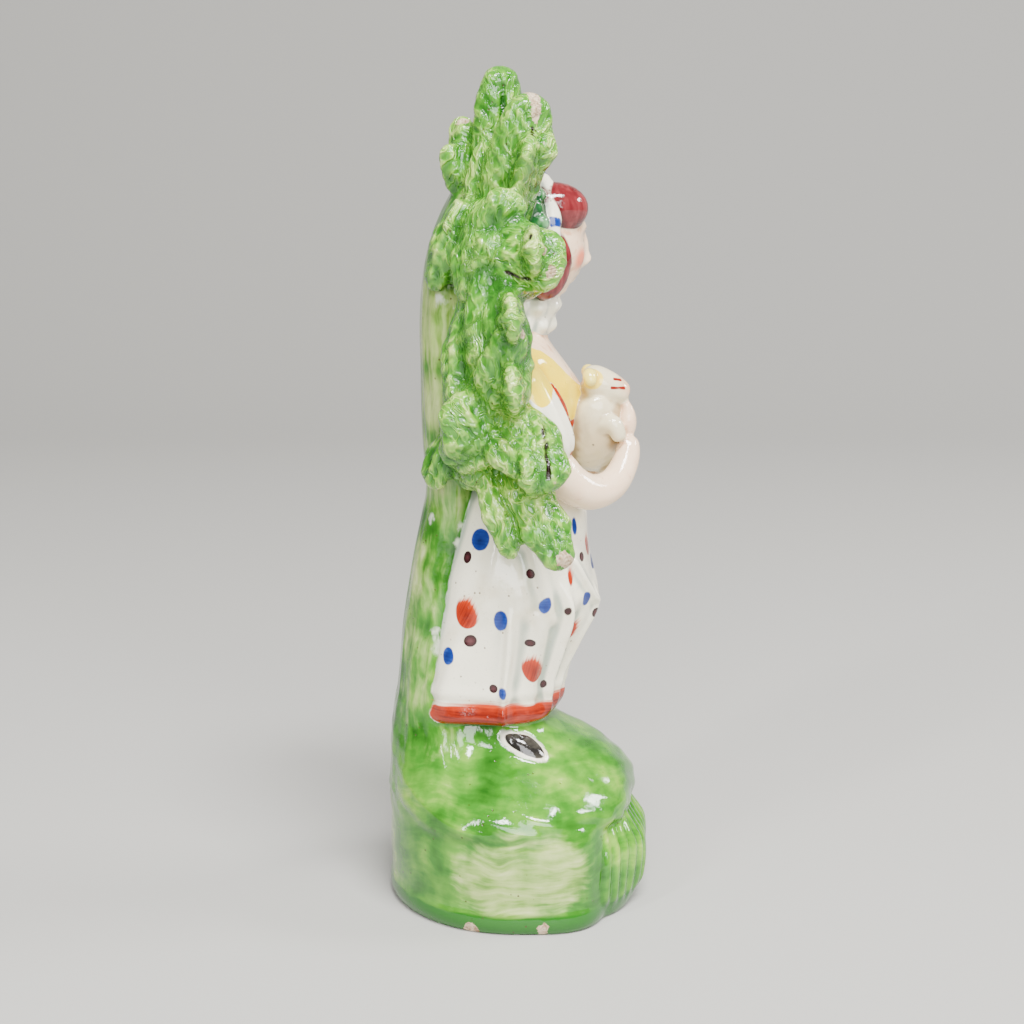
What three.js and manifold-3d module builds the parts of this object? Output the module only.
import * as THREE from "three";
import { mergeVertices } from "three/addons/utils/BufferGeometryUtils.js";
import Module from "manifold-3d";

// A pottery figure of a shepherdess holding a lamb, standing on a grassy mound before a leafy tree.
// Millimetres, +Z up. She faces -Y and her right hand is on the -X side. The base stands on Z = 0.

// Base: a pad with upright sides, round behind and squarer in front
const BASE_HALF_WIDTH = 27.4;
const BASE_REAR = 23.6;
const BASE_FRONT = 17.2;
const BASE_FRONT_SQUARENESS = 3.6;
const BASE_TOP = 18;
const FOOT_RECESS_DEPTH = 3;
const FOOT_RIM = 5.5;

// Figure: heights of the places that the eye checks first
const HEM_Z = 34.6;
const WAIST_Z = 73;
const SHOULDER_Z = 98.5;
const SKIRT_FRONT_SQUARENESS = 2.4;
const SKIRT_REAR_SQUARENESS = 3.4;
const HEAD_CENTRE = [0, -3.5, 119.5];
const HEAD_RADII = [7.8, 8.7, 10.6];
const HEAD_TURN = THREE.MathUtils.degToRad(17);
const FACE_FLATNESS = 0.32;
const JAW_NARROWING = 0.2;

// Tree: the two sides match but for small shifts, as hand-set sprigs do
const SPRIG_SHIFT = 0.9;

const point = (x, y, z) => new THREE.Vector3(x, y, z);
const smooth = (t) => t * t * (3 - 2 * t);
const bump = (x, centre, width) => Math.exp(-(((x - centre) / width) ** 2));

// Value at t from 0 to 1 on the smooth line through evenly spaced values
function along(values, t) {
  const place = t * (values.length - 1);
  const i = Math.min(Math.floor(place), values.length - 2);
  const f = place - i;
  const a = values[Math.max(i - 1, 0)];
  const b = values[i];
  const c = values[i + 1];
  const d = values[Math.min(i + 2, values.length - 1)];
  return b + 0.5 * f * (c - a + f * (2 * a - 5 * b + 4 * c - d + f * (3 * (b - c) + d - a)));
}

// Closed body: a capped cylinder whose points are moved by place(angle, reach, t),
// where reach is 0 at the middle of an end and 1 on the wall, and t runs from end to end
function shaped(sides, rings, place) {
  const geometry = new THREE.CylinderGeometry(1, 1, 1, sides, rings);
  const position = geometry.attributes.position;
  for (let i = 0; i < position.count; i++) {
    const x = position.getX(i);
    const z = position.getZ(i);
    const t = position.getY(i) + 0.5;
    const moved = place(Math.atan2(z, x), Math.hypot(x, z), t);
    position.setXYZ(i, moved.x, moved.y, moved.z);
  }
  return geometry;
}

// Upright body from level sections [z, middle y, half width, front reach, rear reach]
function stack(sections, sides, rings, ripple = () => 1) {
  const column = (k) => sections.map((section) => section[k]);
  const [levels, middles, widths, fronts, rears] = [0, 1, 2, 3, 4].map(column);
  return shaped(sides, rings, (angle, reach, t) => {
    const z = along(levels, t);
    const wave = reach * ripple(angle, z);
    const depth = Math.sin(angle) < 0 ? along(fronts, t) : along(rears, t);
    const x = along(widths, t) * Math.cos(angle) * wave;
    return point(x, along(middles, t) + depth * Math.sin(angle) * wave, z);
  });
}

// Round limb along a smooth line through [x, y, z, radius] stations, with rounded ends
function limb(stations, sides, rings, flatness = 1) {
  const line = new THREE.CatmullRomCurve3(stations.map(([x, y, z]) => point(x, y, z)));
  const radii = stations.map((station) => station[3]);
  const side = line.getPoint(1).sub(line.getPoint(0)).cross(point(0.31, -0.25, 0.92)).normalize();
  return shaped(sides, rings, (angle, reach, t) => {
    const tangent = line.getTangent(t);
    const across = side.clone().addScaledVector(tangent, -side.dot(tangent)).normalize();
    const over = tangent.clone().cross(across);
    const rounding = Math.sqrt(Math.max(0.12, 1 - (2 * t - 1) ** 6));
    const radius = along(radii, t) * reach * rounding;
    return line.getPoint(t)
      .addScaledVector(across, Math.cos(angle) * radius)
      .addScaledVector(over, Math.sin(angle) * radius * flatness);
  });
}

function egg(centre, radii, columns, rows, turn = 0) {
  const geometry = new THREE.SphereGeometry(1, columns, rows);
  geometry.rotateX(Math.PI / 2);
  geometry.scale(...radii);
  geometry.rotateZ(turn);
  geometry.translate(...centre);
  return geometry;
}

// Leaf: a plump blade from root to tip, broad across its face, with lobed edges and a bend
// towards its face; thick and wide are half sizes
const LEAF_OUTLINE = [0.5, 0.78, 0.97, 1, 1, 0.92, 0.35];
const LEAF_THICKNESS = [0.8, 0.95, 1, 1, 0.9, 0.75, 0.3];
const LEAF_LOBE = 0.14;

function leaf({ root, tip, face, wide, thick, lobes = 2, bend = 1.4, sides = 4, rings = 5 }) {
  const start = point(...root);
  const end = point(...tip);
  const run = end.clone().sub(start);
  const length = run.length();
  const slope = point(...face).dot(run) / length ** 2;
  const front = point(...face).addScaledVector(run, -slope).normalize();
  const across = run.clone().normalize().cross(front).normalize();
  return shaped(sides, rings, (angle, reach, t) => {
    const place = Math.sin((Math.PI / 2) * t);
    const lobe = 1 + LEAF_LOBE * Math.cos(2 * Math.PI * lobes * place);
    const rise = Math.sin(angle) * reach * thick * along(LEAF_THICKNESS, place);
    const spread = Math.cos(angle) * reach * wide * along(LEAF_OUTLINE, place) * lobe;
    return start.clone()
      .addScaledVector(run, place)
      .addScaledVector(front, bend * Math.sin(Math.PI * place) + rise)
      .addScaledVector(across, spread);
  });
}

// Reach of a squarish outline in a direction, in the unit of its half width and half depth:
// power 2 gives an oval, and a higher power squarer corners
function squareness(angle, frontPower, rearPower) {
  const power = Math.sin(angle) < 0 ? frontPower : rearPower;
  const span = Math.abs(Math.cos(angle)) ** power + Math.abs(Math.sin(angle)) ** power;
  return span ** (-1 / power);
}

const baseOutline = (angle) => squareness(angle, BASE_FRONT_SQUARENESS, 2);

function makeBasePad() {
  const profile = [[0, 0.975], [1.2, 0.995], [5, 1], [10, 0.995], [14, 0.985], [BASE_TOP, 0.955]];
  const sections = profile.map(([z, scale]) =>
    [z, 0, BASE_HALF_WIDTH * scale, BASE_FRONT * scale, BASE_REAR * scale]);
  return stack(sections, 30, 5, baseOutline);
}

function makeRecess() {
  const floor = (z) => [z, 0, BASE_HALF_WIDTH - FOOT_RIM, BASE_FRONT - FOOT_RIM, BASE_REAR - FOOT_RIM];
  return stack([floor(-1), floor(FOOT_RECESS_DEPTH)], 24, 1, baseOutline);
}

// Mound: a soft overhanging lip, then grassy slopes up to the ground under the skirt
function makeMound() {
  const sections = [
    [15.6, 0, 24.5, 20.2, 22.6],
    [17.2, 0, 26.6, 22.9, 23.2],
    [18.8, 0, 27.1, 23.6, 23.3],
    [20.8, 0, 26.1, 22.3, 23.2],
    [23.4, 0, 22.8, 19.8, 23],
    [26, 0, 18.4, 17, 22.8],
    [28.5, 0, 15.4, 13.6, 22.6],
    [30.6, 0, 13.8, 9.6, 22.4],
    [33, 0, 12.9, 6.8, 22.2],
    [36, 0, 12.2, 5.2, 21.9],
  ];
  const tufts = (angle, z) => {
    const broad = 0.018 * Math.sin(5 * angle + 0.4 * z);
    const fine = 0.012 * Math.cos(9 * angle - 0.3 * z);
    return 1 + broad + fine;
  };
  return stack(sections, 30, 8, tufts);
}

// Fluted leaf boss that bulges from the middle of the base's front
function makeBoss() {
  const sections = [
    [0, -9, 14, 13, 8],
    [3, -9, 15, 14.3, 8],
    [7.5, -9, 15.6, 15.4, 8],
    [11, -9, 15.4, 15.2, 8],
    [14, -9, 14.6, 14, 8],
    [17, -9, 13, 12, 8],
  ];
  const flutes = (angle, z) => 1 + 0.035 * Math.cos(17 * angle) * smooth(Math.min(z / 8, 1));
  return stack(sections, 36, 4, flutes);
}

function makeTrunk() {
  const sections = [
    [20, 8, 19, 4, 15.2],
    [26, 9.6, 15.6, 5, 13],
    [32, 11, 12.6, 5, 11.3],
    [40, 12.4, 10.8, 6, 9.4],
    [50, 13.2, 9.8, 6, 7.6],
    [60, 13, 9.1, 6, 6.4],
    [70, 12.2, 8.6, 5.6, 5.2],
    [75, 11.7, 8.6, 5, 4.8],
    [84, 12, 9.6, 6, 4.9],
    [95, 12.2, 10, 6, 5],
    [106, 12.2, 10, 5, 5],
    [116, 11.8, 9.6, 5, 4.6],
    [124, 10, 8.6, 4.4, 3.8],
    [131, 8, 6, 2.4, 2],
  ];
  return stack(sections, 12, 10);
}

// Skirt: pressed folds that deepen towards the hem, with an apron bulge at the knees
function makeSkirt() {
  const sections = [
    [HEM_Z, 4, 14.4, 10.8, 11.6],
    [HEM_Z + 1.4, 4, 14.8, 11.4, 12],
    [41, 3, 14.8, 11, 12.6],
    [47.5, 1.2, 15, 12, 13.2],
    [54.5, -0.5, 15.1, 13.4, 13.4],
    [61, -1.2, 14.2, 12.2, 12.8],
    [67, -1.8, 12.4, 11.1, 11.4],
    [WAIST_Z, -2.1, 10.4, 10.4, 10.2],
    [77, -2, 9, 8.8, 9.4],
  ];
  const folds = (angle, z) => {
    const depth = 0.045 * smooth(THREE.MathUtils.clamp((WAIST_Z + 3 - z) / 34, 0, 1));
    const pleats = Math.cos(9 * angle + 0.5) + 0.4 * Math.sin(5 * angle);
    return squareness(angle, SKIRT_FRONT_SQUARENESS, SKIRT_REAR_SQUARENESS) * (1 + depth * pleats);
  };
  return stack(sections, 32, 8, folds);
}

function makeTorso() {
  const sections = [
    [70, -1.5, 9.4, 8.6, 9.5],
    [76, -1, 8.9, 8.4, 8.5],
    [82, -1, 9.4, 8.6, 11],
    [87, -1.4, 10.2, 9.4, 12],
    [91, -1.6, 10.8, 10.2, 12],
    [94, -1.4, 11.2, 10, 12],
    [97, -0.8, 11.5, 8.6, 11],
    [99.5, -0.3, 11.3, 7.2, 9],
    [101.6, 0, 9.4, 6, 6],
    [103.4, -0.2, 6.4, 5, 5],
    [105.5, -0.6, 4.6, 4.4, 4.4],
    [111, -2.4, 4.2, 4.2, 4.4],
  ];
  return stack(sections, 16, 10);
}

// Goffered ruff around the neck
function makeRuff() {
  const sections = [
    [103, -1.2, 4.6, 4.4, 4.6],
    [104.4, -1.4, 5.7, 5.4, 5.6],
    [106.4, -1.8, 5.3, 5.1, 5.2],
    [108.2, -2.2, 5.9, 5.6, 5.6],
    [110, -2.6, 4.8, 4.6, 4.6],
  ];
  return stack(sections, 18, 4, (angle) => 1 + 0.06 * Math.cos(9 * angle));
}

// Head: an egg with a calm, plain face. Each feature is a soft bump, or a hollow where its height is
// below zero, placed across and up from the middle of the face
const FACE = [
  { name: "nose tip", height: 1.9, across: 0, broad: 1.15, up: -3.6, tall: 1.5 },
  { name: "nose bridge", height: 1.1, across: 0, broad: 1, up: -1.2, tall: 2.4 },
  { name: "brow", height: 0.7, across: 0, broad: 5, up: 2.6, tall: 1.3 },
  { name: "eye socket", height: -0.9, across: 3.1, broad: 1.6, up: 0.3, tall: 1.2 },
  { name: "eyelid", height: 0.75, across: 3.1, broad: 1.05, up: 0.1, tall: 0.8 },
  { name: "upper lip", height: 0.8, across: 0, broad: 2, up: -6, tall: 0.55 },
  { name: "lower lip", height: 0.7, across: 0, broad: 1.7, up: -7.1, tall: 0.6 },
  { name: "chin", height: 0.9, across: 0, broad: 2.6, up: -9.2, tall: 1.3 },
  { name: "cheek", height: 0.4, across: 4.4, broad: 2, up: -3.6, tall: 2 },
];

function makeHead() {
  const [halfWidth, halfDepth, halfHeight] = HEAD_RADII;
  const geometry = new THREE.SphereGeometry(1, 18, 14);
  geometry.rotateX(Math.PI / 2);
  const position = geometry.attributes.position;
  for (let i = 0; i < position.count; i++) {
    const lift = position.getZ(i);
    const level = Math.sqrt(Math.max(1 - lift ** 2, 0));
    const around = Math.atan2(position.getX(i), -position.getY(i));
    const turned = around - FACE_FLATNESS * Math.sin(around);
    const jaw = 1 - JAW_NARROWING * smooth(THREE.MathUtils.clamp(-lift - 0.1, 0, 1));
    const x = Math.sin(turned) * level * halfWidth * jaw;
    let y = -Math.cos(turned) * level * halfDepth;
    const z = lift * halfHeight;
    if (y < 0) {
      for (const { height, across, broad, up, tall } of FACE) {
        y -= height * bump(Math.abs(x), across, broad) * bump(z, up, tall);
      }
    }
    position.setXYZ(i, x, y, z);
  }
  geometry.rotateZ(HEAD_TURN);
  geometry.translate(...HEAD_CENTRE);
  return geometry;
}

// Hair: a full cap set back from the face, two swept waves from a middle parting, and side locks
function makeHair() {
  const [x, y, z] = HEAD_CENTRE;
  const on = (dx, dy, dz) => {
    const place = point(dx, dy, dz).applyAxisAngle(point(0, 0, 1), HEAD_TURN);
    return [x + place.x, y + place.y, z + place.z];
  };
  const parts = [egg(on(0, 2.5, 1.4), [8.8, 8.0, 9.8], 12, 8, HEAD_TURN)];
  for (const side of [-1, 1]) {
    parts.push(egg(on(side * 3.9, -1.6, 5.2), [4.6, 6.3, 5.2], 9, 5, HEAD_TURN + side * 0.25));
    parts.push(egg(on(side * 5.8, 0.6, -3.4), [2.9, 4.4, 7], 8, 6, HEAD_TURN));
  }
  return parts;
}

// Headdress: a ribbon band over the crown with a garland of small leaves behind it
function makeHeaddress() {
  const [x, y, z] = HEAD_CENTRE;
  const arch = (back, wide, tall, radius, steps) => {
    const stations = [];
    for (let i = 0; i <= steps; i++) {
      const turn = THREE.MathUtils.degToRad(-20 + (220 * i) / steps);
      const place = point(wide * Math.cos(turn), back, tall * Math.sin(turn));
      place.applyAxisAngle(point(0, 0, 1), HEAD_TURN);
      stations.push([x + place.x, y + place.y, z + 1.2 + place.z, radius * (1 + 0.18 * (i % 2))]);
    }
    return limb(stations, 5, steps);
  };
  return [arch(-0.4, 8.4, 9.9, 1.4, 9), arch(2.6, 8.7, 10, 1.9, 9)];
}

// Arms: short full sleeves, then bare forearms that come forward round the lamb
function makeArms() {
  const sleeve = (side) => limb([
    [side * 9.4, 0.6, SHOULDER_Z, 3.6],
    [side * 12, -1.6, 94, 4.4],
    [side * 13, -4.4, 88, 4.7],
    [side * 13, -6.6, 82, 4.6],
  ], 8, 5);
  const nearArm = limb([
    [-12.8, -6.4, 83, 3.5],
    [-12.8, -8.8, 78.6, 3.5],
    [-11.4, -12.8, 76.3, 3.2],
    [-8.6, -16.8, 77.2, 2.8],
    [-6, -19.3, 80.8, 2.4],
    [-4, -20.2, 85.2, 2.2],
  ], 8, 6);
  const farArm = limb([
    [12.8, -6.4, 83, 3.5],
    [12.8, -9, 79, 3.5],
    [11, -13, 77.4, 3.2],
    [7.8, -16.4, 78.4, 2.8],
    [4.6, -18.4, 80.2, 2.4],
  ], 8, 6);
  return [sleeve(-1), sleeve(1), nearArm, farArm];
}

// Hands: small palms, and three fingers of the near hand curled over the lamb's chest
function makeHands() {
  const parts = [
    egg([-3.2, -19.8, 87.6], [2.4, 1.6, 3], 8, 6),
    egg([2.6, -18.8, 81.4], [2.8, 1.6, 2.2], 8, 6),
  ];
  for (let finger = 0; finger < 3; finger++) {
    const shift = finger * 1.6;
    parts.push(limb([
      [-3.6 + shift, -20.4, 88, 1],
      [-2.6 + shift, -19.4, 90.4, 0.95],
      [-1.6 + shift, -17.8, 92, 0.8],
    ], 5, 2));
  }
  return parts;
}

// Lamb: lies across her arms, with its head up on her right and looking ahead
function makeLamb() {
  const body = limb([
    [9.4, -12, 81.6, 4.6],
    [5.2, -13.6, 83.2, 6],
    [0.8, -14.2, 85.6, 5.8],
    [-2.4, -14, 89.4, 4.6],
    [-3, -13.4, 93, 3.6],
  ], 9, 6);
  const head = limb([
    [-2.8, -11.6, 94.8, 2.6],
    [-2.9, -13.6, 94.6, 3.2],
    [-3, -16.2, 93.8, 2.9],
    [-3.1, -18.6, 92.9, 2.2],
    [-3.1, -20, 92.4, 1.5],
  ], 8, 5);
  const ears = [-1, 1].map((side) => limb([
    [-2.9 + side * 1.6, -13, 96.4, 1],
    [-2.9 + side * 3.4, -12.8, 96.2, 1.3],
    [-2.9 + side * 4.6, -13.2, 94.6, 0.9],
  ], 6, 3));
  const foreleg = limb([
    [-4.4, -14.6, 87, 1.9],
    [-6.4, -17, 87.6, 1.7],
    [-6.6, -18.4, 84.6, 1.3],
  ], 6, 3);
  const hindLeg = limb([
    [5, -15.6, 79, 2.3],
    [2.4, -18.2, 77.6, 1.9],
    [1.4, -18.6, 75, 1.3],
  ], 6, 3);
  return [body, head, ...ears, foreleg, hindLeg];
}

function makeShoes() {
  return [-1, 1].map((side) => limb([
    [side * 9.6, 3, 33, 3],
    [side * 11.6, -0.5, 31.4, 3.4],
    [side * 12.4, -4, 29.6, 3.1],
    [side * 12, -6.8, 27.6, 1.9],
  ], 8, 4, 0.9));
}

// Boughs: thick stubs that carry the sprigs out from both sides of the trunk
function makeBoughs(side) {
  return [
    egg([side * 9, 5.4, 118.5], [13.4, 5.6, 9.8], 9, 5),
    egg([side * 11, 5.6, 104], [13.4, 5.4, 11.4], 9, 5),
    egg([side * 11, 6.6, 88], [13.4, 6.8, 11.4], 9, 5),
  ];
}

// Sprig leaves of one side, given for the side at -X; face is the way that the broad side looks
const OUT = [-1, -0.25, 0.1];
const AHEAD = [-0.25, -1, 0.1];
const TALL = { sides: 6, rings: 6 };
const LEAVES = [
  { root: [-4.6, 4, 118], tip: [-8, 2.8, 149.8], face: OUT, wide: 4.8, thick: 4, bend: 0.6, ...TALL },
  { root: [-8, 3.4, 119], tip: [-15.6, -3.4, 145], face: OUT, wide: 4.8, thick: 3.8, bend: 0.8, ...TALL },
  { root: [-12, 1, 130], tip: [-16.5, -6.8, 136.5], face: OUT, wide: 3.4, thick: 2.2, lobes: 0, bend: 0.5 },
  { root: [-3, 8.5, 122], tip: [-4.4, 10.6, 139.4], face: [0, 1, 0.1], wide: 2.8, thick: 2.2, bend: 0.5 },
  { root: [-12, 6.6, 119], tip: [-22, -1, 129], face: OUT, wide: 4.6, thick: 2.8 },
  { root: [-12, 6.4, 119.5], tip: [-27, -7.4, 118.4], face: OUT, wide: 7, thick: 3.2, bend: 2 },
  { root: [-19, 2.2, 117], tip: [-25, -3, 93.4], face: OUT, wide: 3.4, thick: 3, bend: 1.6 },
  { root: [-20, 4.6, 92], tip: [-28, -0.6, 107], face: OUT, wide: 4, thick: 2.8, bend: 1 },
  { root: [-18, 5, 83.5], tip: [-23, 10.6, 95], face: OUT, wide: 5.8, thick: 2.8 },
  { root: [-18, 1.6, 95], tip: [-27, -6.8, 79.4], face: OUT, wide: 5.6, thick: 3, bend: 1 },
  { root: [-18, 6.6, 82], tip: [-22, 0.6, 66.4], face: OUT, wide: 2.6, thick: 2.2, bend: 0.6 },
  { root: [-17, 1.6, 84], tip: [-24.6, -8, 65.2], face: OUT, wide: 4.3, thick: 2.8, lobes: 3, ...TALL },
  { root: [-3, 2, 114], tip: [-21, -3.5, 137], face: AHEAD, wide: 5.2, thick: 2.2, bend: 1 },
  { root: [-7, 2, 116], tip: [-30.5, -3, 125.5], face: AHEAD, wide: 5.6, thick: 2.2 },
  { root: [-8, 2, 107], tip: [-33.5, -1.5, 111], face: AHEAD, wide: 5.8, thick: 2.2 },
  { root: [-10, 2, 96], tip: [-33, -1, 96], face: AHEAD, wide: 5.8, thick: 2.2 },
  { root: [-10, 2.5, 87], tip: [-30, -2, 80], face: AHEAD, wide: 5.2, thick: 2.2 },
];

// The other side repeats each leaf mirrored, with its tip shifted a little
function makeLeaves(side) {
  return LEAVES.map((sprig, i) => {
    const shift = side > 0 ? SPRIG_SHIFT : 0;
    const mirrored = ([x, y, z]) => [-side * x, y, z];
    const tip = mirrored(sprig.tip);
    tip[1] += shift * Math.sin(2.3 * i);
    tip[2] += i === 0 ? -2.5 * shift : shift * Math.cos(1.7 * i);
    return leaf({ ...sprig, root: mirrored(sprig.root), tip, face: mirrored(sprig.face) });
  });
}

const wasm = await Module();
wasm.setup();

// Solid from a closed geometry, turned outside out if its faces point inwards
function solid(geometry) {
  geometry.deleteAttribute("normal");
  geometry.deleteAttribute("uv");
  const merged = mergeVertices(geometry, 1e-4);
  const corners = merged.attributes.position.array;
  const faces = Uint32Array.from(merged.index.array);
  const a = point(0, 0, 0);
  const b = point(0, 0, 0);
  const c = point(0, 0, 0);
  const kept = [];
  let volume = 0;
  for (let i = 0; i < faces.length; i += 3) {
    const [p, q, r] = [faces[i], faces[i + 1], faces[i + 2]];
    if (p === q || q === r || r === p) {
      continue;
    }
    kept.push(p, q, r);
    a.fromArray(corners, 3 * p);
    b.fromArray(corners, 3 * q);
    c.fromArray(corners, 3 * r);
    volume += a.dot(b.cross(c));
  }
  if (volume < 0) {
    for (let i = 0; i < kept.length; i += 3) {
      [kept[i], kept[i + 1]] = [kept[i + 1], kept[i]];
    }
  }
  return new wasm.Manifold(new wasm.Mesh({
    numProp: 3,
    vertProperties: Float32Array.from(corners),
    triVerts: Uint32Array.from(kept),
  }));
}

function joined(geometries) {
  return geometries.map(solid).reduce((whole, part) => whole.add(part));
}

const ground = joined([makeBasePad(), makeMound(), makeBoss(), makeTrunk()]);
const woman = joined([
  makeSkirt(), makeTorso(), makeRuff(), makeHead(), ...makeHair(), ...makeHeaddress(),
  ...makeArms(), ...makeHands(), ...makeShoes(),
]);
const lamb = joined(makeLamb());
const tree = joined([-1, 1].flatMap((side) => [...makeBoughs(side), ...makeLeaves(side)]));
const figure = ground.add(woman).add(lamb).add(tree).subtract(solid(makeRecess()));

// Back to three.js, centred over the footprint with the rim on Z = 0
const mesh = figure.getMesh();
const geometry = new THREE.BufferGeometry();
geometry.setAttribute("position", new THREE.BufferAttribute(mesh.vertProperties, 3));
geometry.setIndex(new THREE.BufferAttribute(mesh.triVerts, 1));
geometry.computeBoundingBox();
const centre = geometry.boundingBox.getCenter(point(0, 0, 0));
geometry.translate(-centre.x, -centre.y, -geometry.boundingBox.min.z);
geometry.computeVertexNormals();

const glaze = new THREE.MeshStandardMaterial({ color: 0x79b04a, roughness: 0.18, metalness: 0 });
const piece = new THREE.Mesh(geometry, glaze);
piece.name = "shepherdess_bocage_figure";

const model = new THREE.Group();
model.add(piece);

export default model;
